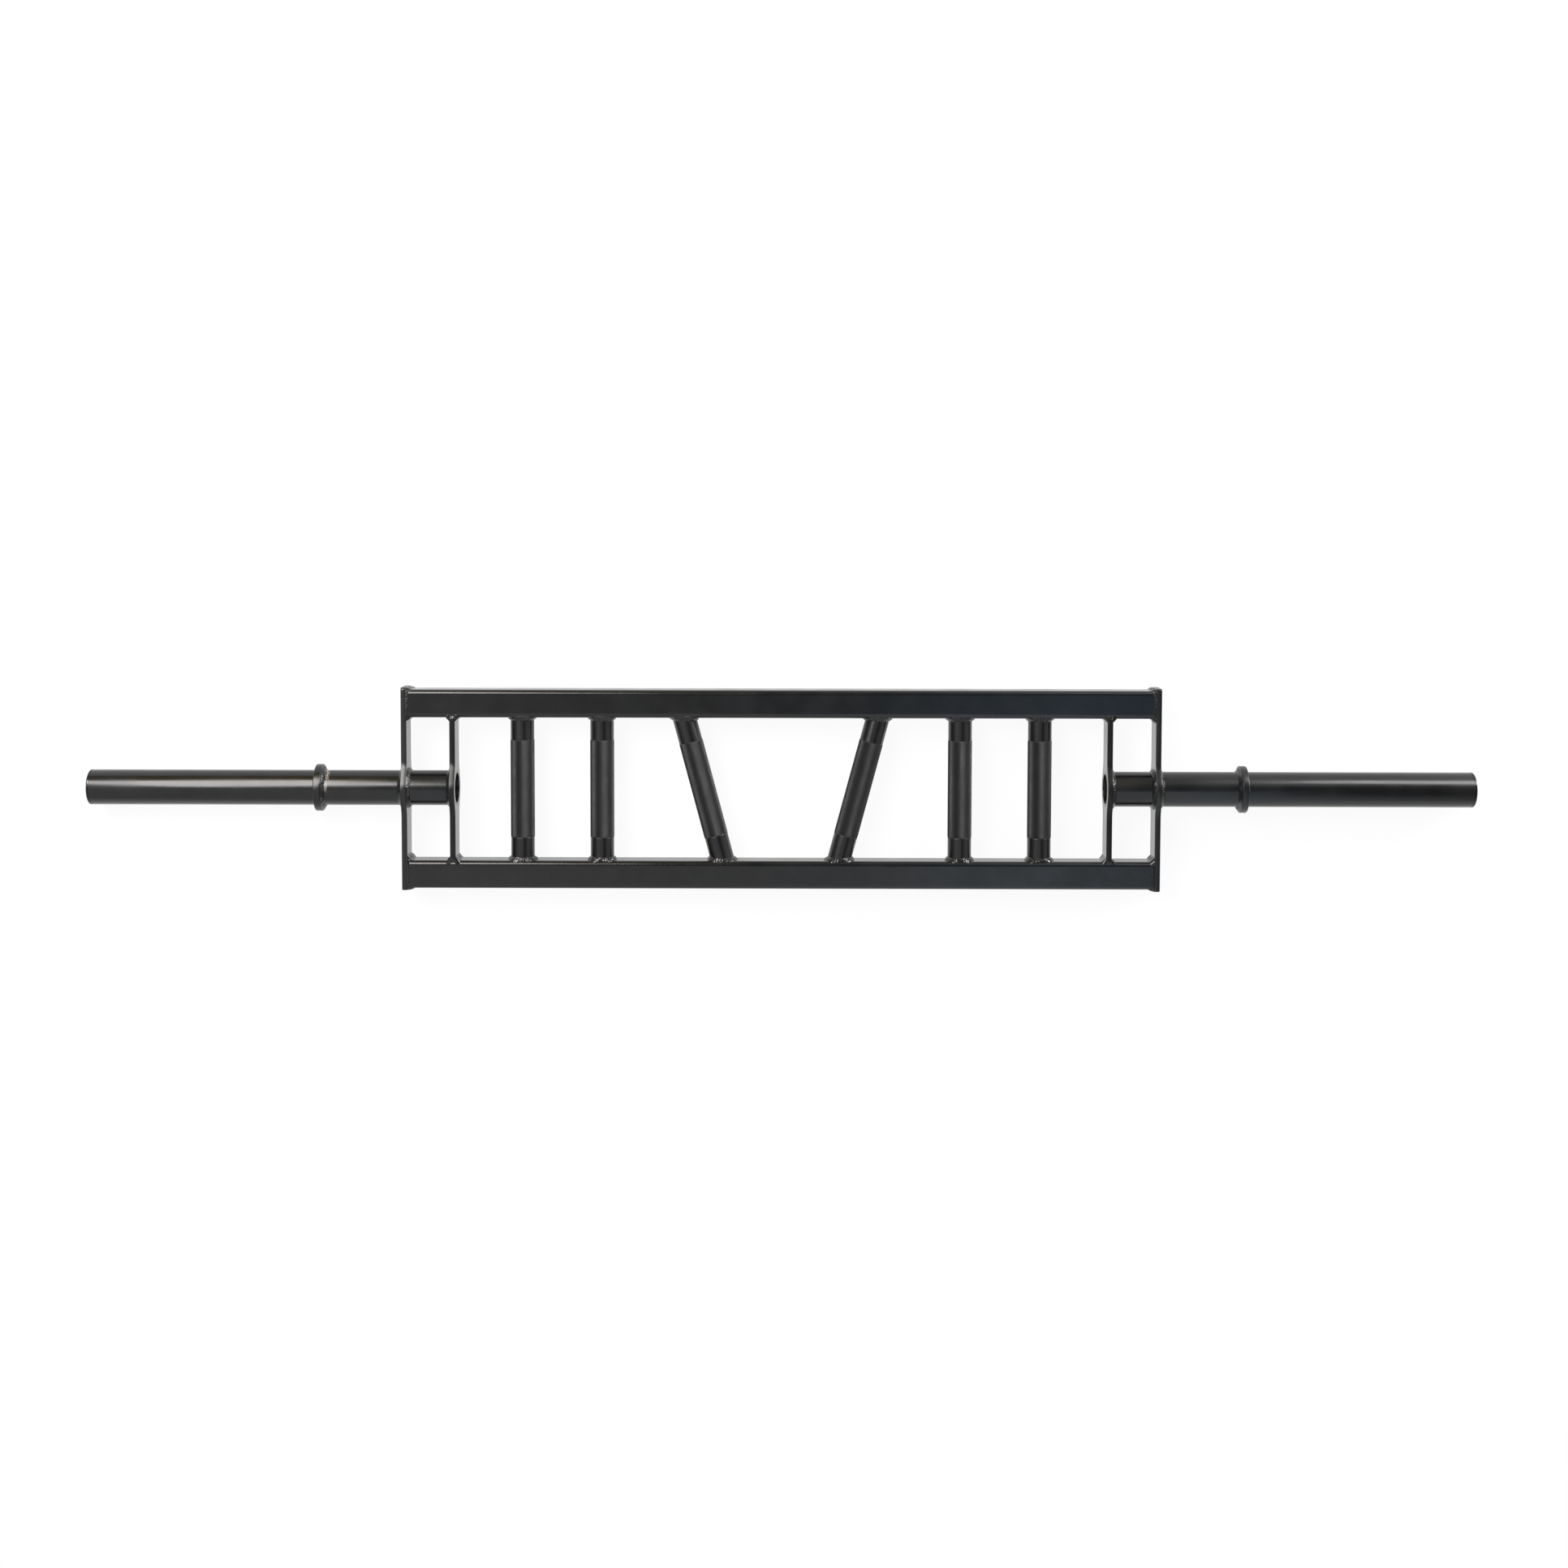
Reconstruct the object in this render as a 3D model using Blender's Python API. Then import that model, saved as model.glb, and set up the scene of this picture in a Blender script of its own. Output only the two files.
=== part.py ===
"""Multi-grip strength training bar: a welded steel frame with six handles and a loading sleeve at each end.

The bar lies flat. X runs along the bar, Y across the frame from the lower rail to the upper rail, and Z is
up, square to the frame. The origin is the middle of the bar, on the axis of the two sleeves. Sizes are in
metres. The right end is modelled, and the left end is the same pieces turned half round about Y.
"""

import bpy
import bmesh
from math import cos, pi, radians, sin, sqrt, tan
from mathutils import Vector

# Bar as a whole
OVERALL_LENGTH = 1.980
COLLAR_SPACING = 1.310
GAP = 0.0003

# Rails, square tube
RAIL_LENGTH = 1.066
RAIL_CLEAR = 0.205
RAIL_WIDTH = 0.040
RAIL_WALL = 0.003
RAIL_CORNER = 0.006

# Plates that join the rails, flat bar that swells to a round hub for the sleeve tube
OUTER_PLATE_THICKNESS = 0.008
INNER_PLATE_THICKNESS = 0.008
PLATE_GAP = 0.061  # clear space between the two plates of one end
PLATE_REACH = 0.003
HUB_WALL = 0.007
HUB_SLOPE = radians(23)  # of the straight flanks between the hub and the strip
HUB_FILLET = 0.030

# Sleeve tubes, collars and end caps
SLEEVE_DIAMETER = 0.050
SLEEVE_WALL = 0.0035
COLLAR_STEP = 0.0085
COLLAR_WIDTH = 0.010
COLLAR_CHAMFER = 0.001
CAP_FLANGE = 0.003
CAP_ROUNDING = 0.002
CAP_STEM = 0.020
CAP_STEM_WALL = 0.002
CAP_RIB = 0.0012
CAP_RIB_COUNT = 3

# Handles
HANDLE_DIAMETER = 0.0337
HANDLE_WALL = 0.0032
GRIP_LENGTH = 0.140
GRIP_RAISE = 0.0003
GRIP_RUN_IN = 0.0006
OUTER_HANDLE_PLACE = 0.370
INNER_HANDLE_PLACE = 0.256
ANGLED_HANDLE_PLACE = 0.111
HANDLE_SLANT = radians(15)

# Fillet welds, by the length of their legs
HANDLE_BEAD = 0.005
RAIL_BEAD = 0.006
SEAM_BEAD = 0.0008
PLATE_BEAD = 0.0055
TUBE_BEAD = 0.005
COLLAR_BEAD = 0.006
BEAD_CROWN = 0.0006
SEAM_FADE = 3  # power that sets how fast a full fillet thins to the seam round a rail's corner
BEAD_STOP = 0.3 * RAIL_CORNER  # how far the welds on a rail's face stop short of its side
CORNER_GAP = 0.0005  # clearance of those welds over the round corners

# Fineness of the round shapes
ROUND_SEGMENTS = 28
CORNER_SEGMENTS = 6
HUB_SEGMENTS = 8
FILLET_SEGMENTS = 3
ROUNDING_SEGMENTS = 3
SMOOTH_BELOW = radians(35)
BEAD_SMOOTH_BELOW = radians(50)
MERGE_DISTANCE = 1e-6

# Places and sizes that follow from the ones above
rail_half = RAIL_WIDTH / 2
rail_flat = rail_half - RAIL_CORNER
rail_face = RAIL_CLEAR / 2
rail_centre = rail_face + rail_half
bead_edge = rail_half - BEAD_STOP
sleeve_radius = SLEEVE_DIAMETER / 2
bore_radius = sleeve_radius - SLEEVE_WALL
hub_radius = sleeve_radius + HUB_WALL
handle_radius = HANDLE_DIAMETER / 2
outer_plate_face = RAIL_LENGTH / 2
inner_plate_face = outer_plate_face - PLATE_GAP - INNER_PLATE_THICKNESS
collar_face = COLLAR_SPACING / 2
sleeve_end = OVERALL_LENGTH / 2 - CAP_FLANGE - GAP


def clear_scene():
    for old in list(bpy.data.objects):
        bpy.data.objects.remove(old, do_unlink=True)


def paint(name, colour, roughness, metallic):
    """A material with one even finish."""
    material = bpy.data.materials.new(name)
    material.use_nodes = True
    shader = material.node_tree.nodes["Principled BSDF"]
    shader.inputs["Base Color"].default_value = (*colour, 1.0)
    shader.inputs["Roughness"].default_value = roughness
    shader.inputs["Metallic"].default_value = metallic
    return material


def powder_coat():
    return paint("satin black powder coat", (0.035, 0.036, 0.038), 0.38, 0.0)


def grip_coat():
    return paint("black coat over knurling", (0.030, 0.031, 0.034), 0.52, 0.0)


def bead_coat():
    return paint("black coat over weld bead", (0.032, 0.033, 0.036), 0.30, 0.0)


def cap_plastic():
    return paint("glossy black plastic", (0.012, 0.012, 0.013), 0.14, 0.0)


def finish_mesh(shape, name, material, smooth_below=SMOOTH_BELOW):
    """Turns an edited shape into a mesh whose faces point out, smooth where it bends less than an angle."""
    bmesh.ops.recalc_face_normals(shape, faces=shape.faces)
    if shape.calc_volume(signed=True) < 0:
        bmesh.ops.reverse_faces(shape, faces=shape.faces)
    mesh = bpy.data.meshes.new(name)
    shape.to_mesh(mesh)
    shape.free()
    mesh.materials.append(material)
    mesh.shade_smooth()
    mesh.set_sharp_from_angle(angle=smooth_below)
    return mesh


def place(name, mesh, parent, location=(0, 0, 0), turn=(0, 0, 0)):
    """Puts a mesh in the scene under a parent, turned about X, Y and Z."""
    piece = bpy.data.objects.new(name, mesh)
    bpy.context.scene.collection.objects.link(piece)
    piece.parent = parent
    piece.location = location
    piece.rotation_euler = turn
    return piece


def joined_sections(sections, closed):
    """A skin over a row of outlines with the same number of points, in a ring or with flat ends."""
    shape = bmesh.new()
    rows = [[shape.verts.new(point) for point in section] for section in sections]
    steps = len(rows) if closed else len(rows) - 1
    for step in range(steps):
        here = rows[step]
        there = rows[(step + 1) % len(rows)]
        for point in range(len(here)):
            after = (point + 1) % len(here)
            shape.faces.new((here[point], here[after], there[after], there[point]))
    if not closed:
        shape.faces.new(rows[0])
        shape.faces.new(rows[-1])
    return shape


def turned(profile):
    """A profile of (distance along X, radius) points turned once round the X axis."""
    shape = bmesh.new()
    points = [shape.verts.new((along, 0, radius)) for along, radius in profile]
    on_axis = profile[0][1] == 0 and profile[-1][1] == 0
    edges = [shape.edges.new(pair) for pair in zip(points, points[1:])]
    if not on_axis:
        edges.append(shape.edges.new((points[-1], points[0])))
    bmesh.ops.spin(shape, geom=points + edges, cent=(0, 0, 0), axis=(1, 0, 0), angle=2 * pi,
                   steps=ROUND_SEGMENTS, use_merge=True)
    bmesh.ops.remove_doubles(shape, verts=shape.verts, dist=MERGE_DISTANCE)
    return shape


def arc(centre, radius, start, end, segments):
    """Points along an arc, both ends included."""
    angles = [start + (end - start) * step / segments for step in range(segments + 1)]
    return [(centre[0] + radius * cos(a), centre[1] + radius * sin(a)) for a in angles]


def square_outline(offset):
    """Outline of the rail's section moved outwards by an offset, with each point's outward direction."""
    outline = []
    for quarter in range(4):
        middle = pi / 4 + quarter * pi / 2
        corner = (rail_flat * sqrt(2) * cos(middle), rail_flat * sqrt(2) * sin(middle))
        for step in range(CORNER_SEGMENTS + 1):
            angle = middle - pi / 4 + pi / 2 * step / CORNER_SEGMENTS
            out = Vector((cos(angle), sin(angle)))
            outline.append((Vector(corner) + (RAIL_CORNER + offset) * out, out))
    return outline


def rail_mesh(material):
    """Square tube along X, open at both ends, with rounded corners inside and out."""
    outer = square_outline(0)
    inner = square_outline(-RAIL_WALL)
    half = RAIL_LENGTH / 2 - GAP
    sections = []
    for (skin, _), (bore, _) in zip(outer, inner):
        sections.append([(-half, *skin), (half, *skin), (half, *bore), (-half, *bore)])
    return finish_mesh(joined_sections(sections, True), "rail", material)


def plate_outline(half_length):
    """Outline of a plate in Y and Z: a strip as wide as the rails, swelling over straight flanks to a round hub."""
    fillet_height = rail_half + HUB_FILLET
    fillet_reach = (hub_radius + HUB_FILLET - fillet_height * cos(HUB_SLOPE)) / sin(HUB_SLOPE)
    side = [(half_length, rail_half)]
    side += arc((fillet_reach, fillet_height), HUB_FILLET, -pi / 2, -pi / 2 - HUB_SLOPE, FILLET_SEGMENTS)
    side += arc((0, 0), hub_radius, pi / 2 - HUB_SLOPE, pi / 2 + HUB_SLOPE, HUB_SEGMENTS)
    side += arc((-fillet_reach, fillet_height), HUB_FILLET, HUB_SLOPE - pi / 2, -pi / 2, FILLET_SEGMENTS)
    side += [(-half_length, rail_half)]
    return side + [(-y, -z) for y, z in side]


def plate_mesh(name, half_length, thickness, material):
    """A plate standing across X, from X = 0 to its thickness, before its bore is cut."""
    outline = plate_outline(half_length)
    sections = [[(x, y, z) for y, z in outline] for x in (0, thickness)]
    return finish_mesh(joined_sections(sections, False), name, material)


def bored_plate(name, mesh, thickness, parent, location):
    """A plate with the bore that the sleeve tube passes through."""
    plate = place(name, mesh, parent, location)
    reach = thickness
    radius = sleeve_radius + GAP
    profile = [(-reach, 0), (-reach, radius), (thickness + reach, radius), (thickness + reach, 0)]
    cutter_mesh = finish_mesh(turned(profile), name + "_bore", mesh.materials[0])
    cutter = place(name + "_bore", cutter_mesh, parent, location)
    cutter.hide_render = True
    cutter.display_type = "WIRE"
    bore = plate.modifiers.new("bore", "BOOLEAN")
    bore.operation = "DIFFERENCE"
    bore.solver = "EXACT"
    bore.object = cutter
    return plate


def sleeve_tube_mesh(material):
    """The loading tube, from flush with the inner plate out to the end cap."""
    profile = [(inner_plate_face, bore_radius), (inner_plate_face, sleeve_radius),
               (sleeve_end, sleeve_radius), (sleeve_end, bore_radius)]
    return finish_mesh(turned(profile), "sleeve_tube", material)


def collar_mesh(material):
    """A ring round the sleeve tube with both outer edges chamfered."""
    inside = sleeve_radius + GAP
    outside = sleeve_radius + COLLAR_STEP
    near = collar_face
    far = collar_face + COLLAR_WIDTH
    profile = [(near, inside), (near, outside - COLLAR_CHAMFER), (near + COLLAR_CHAMFER, outside),
               (far - COLLAR_CHAMFER, outside), (far, outside - COLLAR_CHAMFER), (far, inside)]
    return finish_mesh(turned(profile), "collar", material)


def end_cap_mesh(material):
    """A push-in plug: rounded flange over the tube's end, and a hollow stem with sawtooth ribs inside it."""
    face = OVERALL_LENGTH / 2
    back = face - CAP_FLANGE
    rib_tip = bore_radius - GAP
    stem = rib_tip - CAP_RIB
    pitch = CAP_STEM / (CAP_RIB_COUNT + 1)
    profile = [(face, 0)]
    profile += reversed(arc((face - CAP_ROUNDING, sleeve_radius - CAP_ROUNDING), CAP_ROUNDING, 0, pi / 2,
                            ROUNDING_SEGMENTS))
    profile += [(back, sleeve_radius), (back, stem)]
    for rib in range(1, CAP_RIB_COUNT + 1):
        profile += [(back - rib * pitch + pitch / 2, stem), (back - rib * pitch + pitch / 2, rib_tip)]
        profile += [(back - rib * pitch, stem)]
    profile += [(back - CAP_STEM, stem), (back - CAP_STEM, stem - CAP_STEM_WALL)]
    profile += [(back, stem - CAP_STEM_WALL), (back, 0)]
    return finish_mesh(turned(profile), "end_cap", material)


def handle_mesh(name, slant, material):
    """A handle tube along its own Y axis: plain ends cut parallel to the rails, raised grip in between."""
    end = rail_face - GAP
    grip_end = GRIP_LENGTH / 2
    plain_end = grip_end + GRIP_RUN_IN
    grip = handle_radius + GRIP_RAISE
    bore = handle_radius - HANDLE_WALL
    rows = [(None, -1, handle_radius), (-plain_end, 0, handle_radius), (-grip_end, 0, grip),
            (grip_end, 0, grip), (plain_end, 0, handle_radius), (None, 1, handle_radius),
            (None, 1, bore), (None, -1, bore)]
    sections = []
    for step in range(ROUND_SEGMENTS):
        angle = 2 * pi * step / ROUND_SEGMENTS
        section = []
        for along, side, radius in rows:
            across = radius * cos(angle)
            if along is None:
                along = (side * end - across * sin(slant)) / cos(slant)
            section.append((across, along, radius * sin(angle)))
        sections.append(section)
    return finish_mesh(joined_sections(sections, True), name, material)


def over_rail(z):
    """Height, above the rail's flat face, of a weld's underside, which clears the flat and the round corners."""
    past = abs(z) - rail_flat
    if past <= 0:
        return GAP
    return min(GAP, sqrt((RAIL_CORNER + CORNER_GAP) ** 2 - past ** 2) - RAIL_CORNER)


def crowned(first, last, out):
    """Middle of a weld's face, raised a little from the straight line between its toes."""
    return (first + last) / 2 + BEAD_CROWN * out.normalized()


def handle_bead_mesh(name, slant, material):
    """Fillet weld round a handle where it meets the lower rail, whose face is the plane Y = 0.

    Each section has its root in the corner, three points along the rail and its rounded edges, one point up
    the handle and a crowned face between them.
    """
    axis = Vector((-sin(slant), cos(slant), 0))
    across = Vector((cos(slant), sin(slant), 0))
    sections = []
    for step in range(ROUND_SEGMENTS):
        angle = 2 * pi * step / ROUND_SEGMENTS
        out = cos(angle) * across + sin(angle) * Vector((0, 0, 1))
        foot = (handle_radius + GAP) * out
        root = foot + axis * (over_rail(foot.z) - foot.y) / cos(slant)
        away = Vector((out.x, 0, out.z)).normalized()
        leg = HANDLE_BEAD
        if abs(away.z) * leg > bead_edge - abs(root.z):
            leg = (bead_edge - abs(root.z)) / abs(away.z)
        toes = []
        for share in (0.5, 1.0):
            toe = root + away * leg * share
            toe.y = over_rail(toe.z)
            toes.append(toe)
        top = root + axis * HANDLE_BEAD
        sections.append([root, toes[0], toes[1], crowned(toes[1], top, away + axis), top])
    return finish_mesh(joined_sections(sections, True), name, material, BEAD_SMOOTH_BELOW)


def inner_plate_bead_mesh(material):
    """Fillet weld along one side of an inner plate, on the lower rail's face at Y = 0, running along Z.

    It thins to half its size where it ends on the rail's rounded edges.
    """
    corner_steps = [rail_flat + (bead_edge - rail_flat) * share for share in (0, 0.5, 1)]
    places = [-z for z in reversed(corner_steps)] + corner_steps
    sections = []
    for z in places:
        size = PLATE_BEAD if abs(z) < bead_edge else PLATE_BEAD / 2
        root = Vector((GAP, over_rail(z), z))
        toe = Vector((GAP + size, over_rail(z), z))
        top = Vector((GAP, GAP + size, z))
        sections.append([root, toe, crowned(toe, top, Vector((1, 1, 0))), top])
    return finish_mesh(joined_sections(sections, False), "inner_plate_bead", material, BEAD_SMOOTH_BELOW)


def rail_end_bead_mesh(material):
    """Weld all round the end of the upper rail, in the corner with the outer plate, whose face is X = 0.

    It is a full fillet on the side that faces the other rail, a low one where the plate ends just past the
    rail, and a thin seam in front and behind, where plate and rail are flush.
    """
    beyond = PLATE_REACH - GAP
    sections = []
    for point, out in square_outline(GAP):
        side_leg = beyond if out.x > 0 else RAIL_BEAD
        leg = SEAM_BEAD + (side_leg - SEAM_BEAD) * abs(out.x) ** SEAM_FADE
        normal = Vector((0, *out))
        root = Vector((-GAP, *point))
        toe = root + Vector((-RAIL_BEAD, 0, 0))
        top = root + normal * leg
        middle = (toe + top) / 2 + normal * leg * BEAD_CROWN / RAIL_BEAD
        sections.append([root, top, middle, toe])
    return finish_mesh(joined_sections(sections, True), "rail_end_bead", material, BEAD_SMOOTH_BELOW)


def tube_bead_mesh(name, side, leg, material):
    """Fillet weld round the sleeve tube on a face at X = 0, on the side given by a sign."""
    root = Vector((GAP, sleeve_radius + GAP))
    toe = root + Vector((leg, 0))
    top = root + Vector((0, leg))
    profile = [root, top, crowned(toe, top, Vector((1, 1))), toe]
    return finish_mesh(turned([(side * along, radius) for along, radius in profile]), name, material, BEAD_SMOOTH_BELOW)


def build_rails(coat):
    mesh = rail_mesh(coat)
    place("upper_rail", mesh, None, (0, rail_centre, 0))
    place("lower_rail", mesh, None, (0, -rail_centre, 0))


def build_plates(end_name, parent, meshes):
    bored_plate(end_name + "_outer_plate", meshes["outer_plate"], OUTER_PLATE_THICKNESS, parent,
                (outer_plate_face, 0, 0))
    bored_plate(end_name + "_inner_plate", meshes["inner_plate"], INNER_PLATE_THICKNESS, parent,
                (inner_plate_face, 0, 0))


def build_sleeve(end_name, parent, meshes):
    for piece in ("sleeve_tube", "collar", "end_cap"):
        place(end_name + "_" + piece, meshes[piece], parent)


def build_handles(end_name, parent, meshes):
    """The handles of one end, each with its weld on both rails."""
    for name, middle, slant, mesh, bead in (
            ("outer_handle", OUTER_HANDLE_PLACE, 0.0, "straight_handle", "straight_bead"),
            ("inner_handle", INNER_HANDLE_PLACE, 0.0, "straight_handle", "straight_bead"),
            ("angled_handle", ANGLED_HANDLE_PLACE, -HANDLE_SLANT, "angled_handle", "angled_bead")):
        full = end_name + "_" + name
        lean = tan(slant) * rail_face
        place(full, meshes[mesh], parent, (middle, 0, 0), (0, 0, slant))
        place(full + "_lower_weld", meshes[bead], parent, (middle + lean, -rail_face, 0))
        place(full + "_upper_weld", meshes[bead], parent, (middle - lean, rail_face, 0), (0, 0, pi))


def build_plate_welds(end_name, parent, meshes):
    """The welds of the plates to the rails and of the sleeve tube to the plates and the collar."""
    front = inner_plate_face
    back = inner_plate_face + INNER_PLATE_THICKNESS
    outside = outer_plate_face + OUTER_PLATE_THICKNESS
    for name, mesh, x, y, turn in (
            ("inner_plate_lower_back_weld", "inner_plate_bead", back, -rail_face, (0, 0, 0)),
            ("inner_plate_lower_front_weld", "inner_plate_bead", front, -rail_face, (0, pi, 0)),
            ("inner_plate_upper_back_weld", "inner_plate_bead", back, rail_face, (pi, 0, 0)),
            ("inner_plate_upper_front_weld", "inner_plate_bead", front, rail_face, (0, 0, pi)),
            ("upper_rail_weld", "rail_end_bead", outer_plate_face, rail_centre, (0, 0, 0)),
            ("lower_rail_weld", "rail_end_bead", outer_plate_face, -rail_centre, (pi, 0, 0)),
            ("outer_plate_tube_inside_weld", "tube_bead_inwards", outer_plate_face, 0, (0, 0, 0)),
            ("outer_plate_tube_outside_weld", "tube_bead_outwards", outside, 0, (0, 0, 0)),
            ("inner_plate_tube_weld", "tube_bead_outwards", back, 0, (0, 0, 0)),
            ("collar_weld", "collar_bead", collar_face, 0, (0, 0, 0))):
        place(end_name + "_" + name, meshes[mesh], parent, (x, y, 0), turn)


def build():
    clear_scene()
    coat = powder_coat()
    grip = grip_coat()
    bead = bead_coat()
    tube_leg = min(TUBE_BEAD, HUB_WALL - 2 * GAP)
    collar_leg = min(COLLAR_BEAD, COLLAR_STEP - COLLAR_CHAMFER - GAP)
    meshes = {
        "outer_plate": plate_mesh("outer_plate", rail_centre + rail_half + PLATE_REACH,
                                  OUTER_PLATE_THICKNESS, coat),
        "inner_plate": plate_mesh("inner_plate", rail_face - GAP, INNER_PLATE_THICKNESS, coat),
        "sleeve_tube": sleeve_tube_mesh(coat),
        "collar": collar_mesh(coat),
        "end_cap": end_cap_mesh(cap_plastic()),
        "straight_handle": handle_mesh("straight_handle", 0.0, grip),
        "angled_handle": handle_mesh("angled_handle", -HANDLE_SLANT, grip),
        "straight_bead": handle_bead_mesh("straight_bead", 0.0, bead),
        "angled_bead": handle_bead_mesh("angled_bead", -HANDLE_SLANT, bead),
        "inner_plate_bead": inner_plate_bead_mesh(bead),
        "rail_end_bead": rail_end_bead_mesh(bead),
        "tube_bead_inwards": tube_bead_mesh("tube_bead_inwards", -1, tube_leg, bead),
        "tube_bead_outwards": tube_bead_mesh("tube_bead_outwards", 1, tube_leg, bead),
        "collar_bead": tube_bead_mesh("collar_bead", -1, collar_leg, bead),
    }
    build_rails(coat)
    for end_name, turn in (("right", 0.0), ("left", pi)):
        end = place(end_name + "_end", None, None, turn=(0, turn, 0))
        build_plates(end_name, end, meshes)
        build_sleeve(end_name, end, meshes)
        build_handles(end_name, end, meshes)
        build_plate_welds(end_name, end, meshes)


build()
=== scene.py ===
# Looks of the multi-grip bar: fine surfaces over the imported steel, its coats, the floor, the
# lamps and the camera
from math import radians

import bpy
import numpy as np
from mathutils import Matrix, Vector


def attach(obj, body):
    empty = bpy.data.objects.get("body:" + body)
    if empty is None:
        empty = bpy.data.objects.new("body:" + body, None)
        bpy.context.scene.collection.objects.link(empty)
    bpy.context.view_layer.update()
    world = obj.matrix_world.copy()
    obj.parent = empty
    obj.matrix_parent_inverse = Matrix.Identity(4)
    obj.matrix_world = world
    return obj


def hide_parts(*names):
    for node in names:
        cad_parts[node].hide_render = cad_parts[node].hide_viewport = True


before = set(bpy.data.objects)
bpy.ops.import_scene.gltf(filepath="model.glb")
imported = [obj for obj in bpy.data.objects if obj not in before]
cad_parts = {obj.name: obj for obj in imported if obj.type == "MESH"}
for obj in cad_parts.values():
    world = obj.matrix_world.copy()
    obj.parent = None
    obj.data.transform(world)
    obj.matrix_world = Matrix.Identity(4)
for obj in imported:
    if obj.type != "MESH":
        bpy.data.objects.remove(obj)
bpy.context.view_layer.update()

print("frame loaded, nodes:", len(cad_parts))

ends = {"left": -1, "right": 1}  # sign of X at each end
sides = {"lower": -1, "upper": 1}  # sign of Y at each rail


# meshes
def gridQuads(rows, columns, closeRows=False, closeColumns=True):
    # four-sided faces between neighbours of a grid numbered row by row, wrapped where a direction
    # closes on itself
    i = np.arange(rows if closeRows else rows - 1)[:, None]
    j = np.arange(columns if closeColumns else columns - 1)[None, :]
    nextI = (i + 1) % rows
    nextJ = (j + 1) % columns
    corners = [i * columns + j, i * columns + nextJ, nextI * columns + nextJ, nextI * columns + j]
    return np.stack(np.broadcast_arrays(*corners), axis=-1).reshape(-1, 4)


def signedVolume(points, faces):
    # a sixth of the sum of corner times the cross product of the two others: positive where the
    # faces point out
    volume = 0.0
    for k in range(1, faces.shape[1] - 1):
        a, b, c = points[faces[:, 0]], points[faces[:, k]], points[faces[:, k + 1]]
        volume += np.einsum("ij,ij->i", a, np.cross(b, c)).sum() / 6
    return volume


def addPiece(name, grid, coat, nodes, faces=None, smoothBelow=40, onGrip=None):
    # a mesh piece from a grid of points, riding on the bar and standing for the CAD nodes that it
    # covers. The handles also carry a share for each point, one on the grip and zero on the plain
    # tube, that their coat reads.
    points = grid.reshape(-1, 3)
    if faces is None:
        faces = gridQuads(grid.shape[0], grid.shape[1], True)
    if signedVolume(points, faces) < 0:
        faces = faces[:, ::-1]
    mesh = bpy.data.meshes.new(name)
    mesh.from_pydata(points.tolist(), [], faces.tolist())
    mesh.shade_smooth()
    mesh.set_sharp_from_angle(angle=radians(smoothBelow))
    mesh.materials.append(coat)
    if onGrip is not None:
        share = mesh.attributes.new("onGrip", "FLOAT", "POINT")
        share.data.foreach_set("value", onGrip.ravel())
    piece = bpy.data.objects.new(name, mesh)
    bpy.context.scene.collection.objects.link(piece)
    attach(piece, "root")
    if nodes:
        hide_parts(*nodes)


def unit(vectors):
    # each vector divided by its length
    return vectors / np.linalg.norm(vectors, axis=-1, keepdims=True)


def arcPoints(centre, radius, start, end, count):
    # points at even angles on a circle, both ends included, angles in degrees
    angles = np.radians(np.linspace(start, end, count))
    return np.stack([centre[0] + radius * np.cos(angles), centre[1] + radius * np.sin(angles)],
                    axis=1)


def turned(profile, columns, sign):
    # a profile of (distance along X, radius) pairs carried round the X axis, mirrored to the end
    # given by the sign
    angles = np.linspace(0, 2 * np.pi, columns, endpoint=False)
    along = np.broadcast_to(sign * profile[:, :1], (len(profile), columns))
    return np.stack([along, profile[:, 1:] * np.cos(angles), profile[:, 1:] * np.sin(angles)],
                    axis=-1)


# coats
def newCoat(name):
    material = bpy.data.materials.new(name)
    material.use_nodes = True
    return material, material.node_tree, material.node_tree.nodes["Principled BSDF"]


def addNode(tree, kind, inputs=None, **settings):
    # a node with its settings, and its inputs given as values or as the sockets to link from
    node = tree.nodes.new(kind)
    for key, value in settings.items():
        setattr(node, key, value)
    for key, value in (inputs or {}).items():
        if isinstance(value, bpy.types.NodeSocket):
            tree.links.new(value, node.inputs[key])
        else:
            node.inputs[key].default_value = value
    return node


def noiseOf(tree, place, scale, detail=2.0, rough=0.5):
    return addNode(tree, "ShaderNodeTexNoise", {"Vector": place, "Scale": scale, "Detail": detail,
                                                "Roughness": rough}).outputs["Fac"]


def ranged(tree, value, low, high, to=(0.0, 1.0), smooth=False):
    # the value moved from low and high to a new range, and held at its ends
    node = addNode(tree, "ShaderNodeMapRange", {"Value": value, "From Min": low, "From Max": high,
                                                "To Min": to[0], "To Max": to[1]})
    node.interpolation_type = "SMOOTHSTEP" if smooth else "LINEAR"
    return node.outputs["Result"]


def mathOf(tree, operation, first, second=0.0):
    return addNode(tree, "ShaderNodeMath", {0: first, 1: second}, operation=operation).outputs[0]


def mixOf(tree, share, first, second):
    # two colours, each a socket or three numbers, mixed by the share of the second
    node = addNode(tree, "ShaderNodeMix", {"Factor": share}, data_type="RGBA")
    for socket, value in ((node.inputs[6], first), (node.inputs[7], second)):
        if isinstance(value, bpy.types.NodeSocket):
            tree.links.new(value, socket)
        else:
            socket.default_value = (*value, 1.0)
    return node.outputs[2]


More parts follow.
